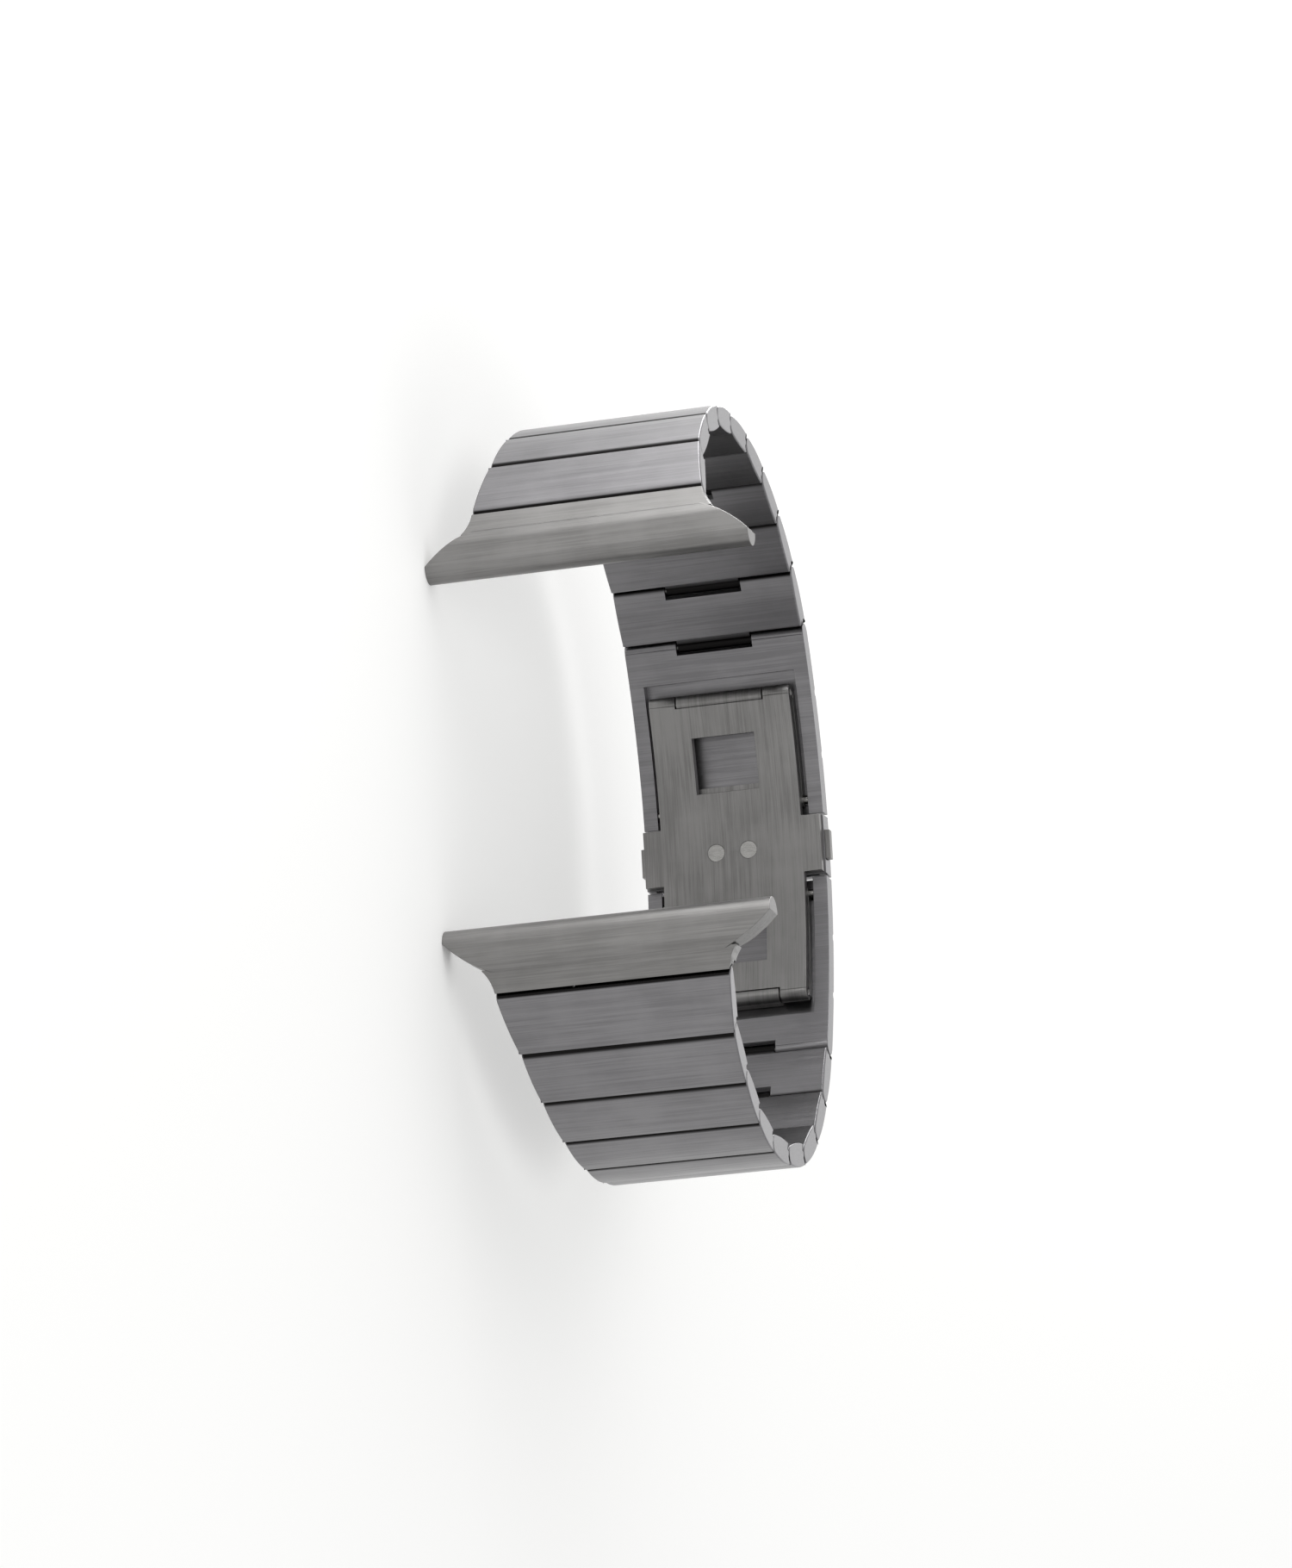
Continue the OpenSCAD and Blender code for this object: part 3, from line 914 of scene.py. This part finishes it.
@dataclass
class Band:
    """The eighteen links, the two connectors and the pins between them.

    Attributes:
        shop: The workshop that places the pieces.
        finishes: The metal finishes.
        link: The link that both arms repeat.
        first_link: The link beside a connector, whose wider groove shows less of its dull surface.
        edge: How the connectors' edges are broken.
        links_per_arm: Links in one arm.
        clasp_w: Width of the band at the clasp.
        widenings: How much wider it is at the first hinges, counted from the connector.
    """

    shop: Workshop
    finishes: Finishes
    link: Link = Link()
    # first_link: The link beside a connector, whose wider groove shows less of its painted shade.
    first_link: Link = Link(groove_starts=0.76)
    edge: BrokenEdge = BrokenEdge()
    links_per_arm: int = 9
    clasp_w: float = 18.9
    widenings: tuple[float, ...] = (3.8, 2.0, 1.2, 0.5)

    def width(self, number: int) -> float:
        """Gives the band's width at a hinge, counted from the connector."""
        return self.clasp_w + (self.widenings[number - 1] if number <= len(self.widenings) else 0.0)

    def build(self) -> None:
        """Makes both arms."""
        for side in Side:
            for number in range(1, self.links_per_arm + 1):
                self.lay_link(side, number)
            for number in range(1, self.links_per_arm + 2):
                self.shop.dress(f"pin_{side.value}_{number}", self.finishes.pin)
            node = f"connector_{side.value}"
            work = self.connector(side, node)
            self.shop.piece(f"satin_{node}", work, self.finishes.connector, Slot.BAND, node)
            self.shop.dress(f"lug_catch_{side.value}", self.finishes.pin)

    def lay_link(self, side: Side, number: int) -> None:
        """Makes a link and lays it between its two hinges.

        Args:
            side: The arm.
            number: The link, counted from the connector.
        """
        head = Hinge.read(side, number)
        tail = Hinge.read(side, number + 1)
        along = Vector((head.x - tail.x, head.y - tail.y, 0)).normalized()
        outwards = Vector((-along.y, along.x, 0))
        if outwards.dot(Vector((tail.x, tail.y, 0))) < 0:
            outwards.negate()
        turned = Matrix((along, outwards, Vector((0, 0, 1)))).transposed().to_4x4()
        placed = Matrix.Scale(MM, 4) @ Matrix.Translation((tail.x, tail.y, tail.z)) @ turned
        shape = self.first_link if number == 1 else self.link
        work = shape.build(self.width(number + 1), self.width(number))
        bmesh.ops.transform(work, matrix=placed, verts=work.verts)
        if turned.determinant() < 0:
            bmesh.ops.reverse_faces(work, faces=work.faces)
        node = f"link_{side.value}_{number}"
        self.shop.piece(f"satin_{node}", work, self.finishes.band, Slot.BAND, node)

    def connector(self, side: Side, node: str) -> bmesh.types.BMesh:
        """Makes a connector with broken edges and painted shade in its hinge groove.

        Args:
            side: The arm.
            node: The CAD node.

        Returns:
            The connector in metres.
        """
        work = self.edge.copy_of(node)
        hinge = Hinge.read(side, 1)
        # Painted shade: vertices within the groove round the first hinge get the full near-black shade.
        groove_shade_layer = work.verts.layers.float.new("groove_shade")
        for vert in work.verts:
            place = Vector((vert.co.x / MM - hinge.x, vert.co.y / MM - hinge.y))
            gap = self.link.lip_gap if place.y < 0 else self.link.inner_lip_gap
            vert[groove_shade_layer] = 1.0 if place.length < self.link.end_r + gap + NEAR else 0.0
        return work


@dataclass
class Clasp:
    """The folding clasp: base, housing, buttons, blades and covers.

    The clasp is curved about an axis at middle_mm, and its pins lie on a circle of curve_r.

    Attributes:
        shop: The workshop that places the pieces.
        finishes: The metal finishes.
        edge: How the edges of most pieces are broken.
        blade_edge: How those of the blades are, whose finest steps are narrow.
        middle_mm: The x and y of the curve's axis.
        curve_r: Radius of the curve through the pins.
        cover_end: Distance along the curve from the clasp's middle to a cover's outer end.
        pitch: Distance between the grooves of a cover.
        grooves_per_cover: Grooves in one cover.
        groove_level: Height of a groove's middle over the curve.
        groove_r: Radius of a groove.
        button_travel: How far a button goes in.
        coil_deg: Faces of a spring's wire that meet at less than this shade as one.
    """

    shop: Workshop
    finishes: Finishes
    edge: BrokenEdge = BrokenEdge()
    blade_edge: BrokenEdge = BrokenEdge(Round(0.02, 2))
    middle_mm: tuple[float, float] = (0.38, -29.561)
    curve_r: float = 56.0
    cover_end: float = 22.05
    pitch: float = 6.3
    grooves_per_cover: int = 2
    groove_level: float = 1.12
    groove_r: float = 0.38
    button_travel: float = 0.7
    coil_deg: float = 65.0

    def build(self) -> None:
        """Makes every piece of the clasp."""
        satin = self.finishes.band
        brushed = self.finishes.clasp
        for node in ["cover_six", "cover_twelve"]:
            self.shop.piece(f"satin_{node}", self.cover(node), satin, Slot.BAND, node)
        rows = [
            ("satin", "clasp_housing", self.edge, satin, Slot.BAND),
            ("brushed", "button_top", self.edge, brushed, Slot.BAND),
            ("brushed", "button_bottom", self.edge, brushed, Slot.BAND),
            ("brushed", "clasp_base", self.edge, brushed, Slot.CLASP),
            ("brushed", "blade_six", self.blade_edge, brushed, Slot.CLASP),
            ("brushed", "blade_twelve", self.blade_edge, brushed, Slot.CLASP),
        ]
        for look, node, edge, steel, slot in rows:
            self.shop.piece(f"{look}_{node}", edge.copy_of(node), steel, slot, node)
        for node in ["housing_rivets", "base_pin_six", "base_pin_twelve", "cover_pin_six",
                     "cover_pin_twelve"]:
            self.shop.dress(node, self.finishes.pin)
        self.spring("top", 0)
        self.spring("bottom", 1)

    def spring(self, place: str, seat: int) -> None:
        """Makes a button's coil spring.

        Args:
            place: The button, "top" or "bottom".
            seat: The end that stays on the housing, 0 for its lowest and 1 for its highest. Not used.
        """
        node = f"button_spring_{place}"
        work = self.edge.merged(node)
        shade_by_angle(work, self.coil_deg)
        coil = self.shop.piece(f"wound_{node}", work, self.finishes.spring, Slot.PIN, node)
        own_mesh(coil)

    def cover(self, node: str) -> bmesh.types.BMesh:
        """Makes a cover with painted shade in the grooves where it imitates the joints of links.

        Args:
            node: The CAD node.

        Returns:
            The cover in metres.
        """
        work = self.edge.copy_of(node)
        # Painted shade: vertices in the grooves get the full near-black shade.
        groove_shade_layer = work.verts.layers.float.new("groove_shade")
        middle = Vector(self.middle_mm)
        turn = -1 if node.endswith("six") else 1
        grooves = []
        for number in range(1, self.grooves_per_cover + 1):
            angle = math.pi / 2 + turn * (self.cover_end - number * self.pitch) / self.curve_r
            out = Vector((math.cos(angle), math.sin(angle)))
            grooves.append(middle + out * (self.curve_r + self.groove_level))
        for vert in work.verts:
            place = Vector((vert.co.x, vert.co.y)) / MM
            away = min((place - groove).length for groove in grooves)
            vert[groove_shade_layer] = 1.0 if away < self.groove_r + NEAR else 0.0
        return work


@dataclass(frozen=True)
class SoftBox:
    """A rectangular lamp that faces the bracelet.

    Attributes:
        name: Its name.
        place: Its place in metres.
        size: Its width and height in metres.
        watts: Its power.
    """

    name: str
    place: tuple[float, float, float]
    size: tuple[float, float]
    watts: float


@dataclass(frozen=True)
class Studio:
    """A pale floor, soft light and the camera of the photograph.

    Attributes:
        floor_colour: The floor's colour, sRGB. It stands for matt white paper, which shows only a soft
            shadow.
        floor_glow: Light that the floor adds where it is seen directly or in the metal, so that it looks
            white.
        floor_width: The floor's width in metres.
        sky_colour: The sky's colour, sRGB.
        sky_strength: The sky's strength.
        lamps: A long low strip box that lights arm twelve, as in the photograph, a fill in front, and a wide
            light behind that shows the cut ends of the links.
        aim: The point that the lamps face, in metres.
        loop_front_mm: The middle of the loop's open front, which the camera looks at.
        turn_deg: How far the camera stands round to the cut ends.
        tip_deg: How far it stands round to arm six.
        roll_deg: How far the picture is turned in its plane.
        distance_mm: The camera's distance from the loop's front.
        pixels_per_mm: The picture's scale there.
        picture: The picture's width and height in pixels.
        front_at: The pixel where the loop's front appears.
        sensor_mm: The camera sensor's height.
        nearest_m: The nearest thing that the camera sees.
    """

    floor_colour: str = "#f8f8f7"
    floor_glow: float = 0.12
    floor_width: float = 6.0
    sky_colour: str = "#ffffff"
    sky_strength: float = 0.78
    lamps: tuple[SoftBox, ...] = (
        SoftBox("strip_box", (-0.30, 0.0, 0.042), (1.2, 0.09), 2.4),
        SoftBox("fill", (0.10, -0.60, 0.50), (0.5, 0.5), 0.5),
        SoftBox("edge_light", (-0.40, 1.30, 0.35), (1.6, 0.6), 1.6),
    )
    aim: tuple[float, float, float] = (0.0, 0.0, 0.016)
    loop_front_mm: tuple[float, float, float] = (-0.42, -28.561, 16.0)
    turn_deg: float = 15.1
    tip_deg: float = 13.7
    roll_deg: float = 3.0
    distance_mm: float = 600.0
    pixels_per_mm: float = 12.31
    picture: tuple[int, int] = (1500, 1820)
    front_at: tuple[float, float] = (686.5, 850.5)
    sensor_mm: float = 24.0
    nearest_m: float = 0.01

    def build(self) -> None:
        """Makes the floor, the sky, the lamps and the camera."""
        self.floor()
        self.sky()
        for lamp in self.lamps:
            self.hang(lamp)
        self.camera()

    def paper(self) -> bpy.types.Material:
        """Makes the floor's material.

        Returns:
            Matt white paper, which glows a little to the eye and in the metal but lights nothing else.
        """
        material = bpy.data.materials.new("pale_floor")
        tree = empty_tree(material)
        colour = linear(self.floor_colour)
        matt = add_node(tree, "ShaderNodeBsdfDiffuse", {"Color": colour})
        rays = add_node(tree, "ShaderNodeLightPath").outputs
        seen = add_node(tree, "ShaderNodeMath", {0: rays["Is Camera Ray"], 1: rays["Is Glossy Ray"]},
                        operation="MAXIMUM")
        glow = add_node(tree, "ShaderNodeMath", {0: seen.outputs[0], 1: self.floor_glow},
                        operation="MULTIPLY")
        light = add_node(tree, "ShaderNodeEmission", {"Color": colour, "Strength": glow.outputs[0]})
        both = add_node(tree, "ShaderNodeAddShader", {0: matt.outputs[0], 1: light.outputs[0]})
        add_node(tree, "ShaderNodeOutputMaterial", {"Surface": both.outputs[0]})
        return material

    def floor(self) -> None:
        """Lays the floor that the bracelet stands on."""
        work = bmesh.new()
        bmesh.ops.create_grid(work, x_segments=1, y_segments=1, size=self.floor_width / 2)
        floor = add_object("floor", as_mesh(work, "floor_mesh"))
        floor.data.materials.append(self.paper())

    def sky(self) -> None:
        """Gives the world a plain even light."""
        world = bpy.data.worlds.new("studio")
        tree = empty_tree(world)
        shade = add_node(tree, "ShaderNodeBackground", {"Color": linear(self.sky_colour),
                                                        "Strength": self.sky_strength})
        add_node(tree, "ShaderNodeOutputWorld", {"Surface": shade.outputs[0]})
        bpy.context.scene.world = world

    def hang(self, box: SoftBox) -> None:
        """Hangs a lamp.

        Args:
            box: The lamp.
        """
        data = bpy.data.lights.new(box.name, "AREA")
        data.shape = "RECTANGLE"
        data.size, data.size_y = box.size
        data.energy = box.watts
        lamp = add_object(box.name, data)
        lamp.location = box.place
        lamp.rotation_euler = (Vector(self.aim) - lamp.location).to_track_quat("-Z", "Y").to_euler()
        lamp.visible_camera = False

    def camera(self) -> None:
        """Sets up the photograph's view: nearly face on, a little from the side and below, on its side."""
        turn = math.radians(self.turn_deg)
        tip = math.radians(self.tip_deg)
        roll = math.radians(self.roll_deg)
        back = Vector((math.sin(tip), -math.cos(turn) * math.cos(tip), math.sin(turn) * math.cos(tip)))
        right = Vector((0.0, math.sin(turn), math.cos(turn)))
        up = back.cross(right)
        across = right * math.cos(roll) - up * math.sin(roll)
        above = right * math.sin(roll) + up * math.cos(roll)
        data = bpy.data.cameras.new("camera")
        data.sensor_fit = "VERTICAL"
        data.sensor_height = self.sensor_mm
        width, height = self.picture
        data.lens = self.pixels_per_mm * self.distance_mm * self.sensor_mm / height
        data.shift_x = (width / 2 - self.front_at[0]) / height
        data.shift_y = (self.front_at[1] - height / 2) / height
        data.clip_start = self.nearest_m
        camera = add_object("camera", data)
        place = (Vector(self.loop_front_mm) + back * self.distance_mm) * MM
        turned = Matrix((across, above, back)).transposed().to_4x4()
        camera.matrix_world = Matrix.Translation(place) @ turned
        bpy.context.scene.camera = camera


def main() -> None:
    logging.basicConfig(level=logging.INFO, format="%(message)s")
    bpy.context.scene.view_settings.view_transform = "Standard"
    shop = Workshop()
    finishes = Finishes()
    Band(shop, finishes).build()
    Clasp(shop, finishes).build()
    Studio().build()


if __name__ == "__main__":
    main()
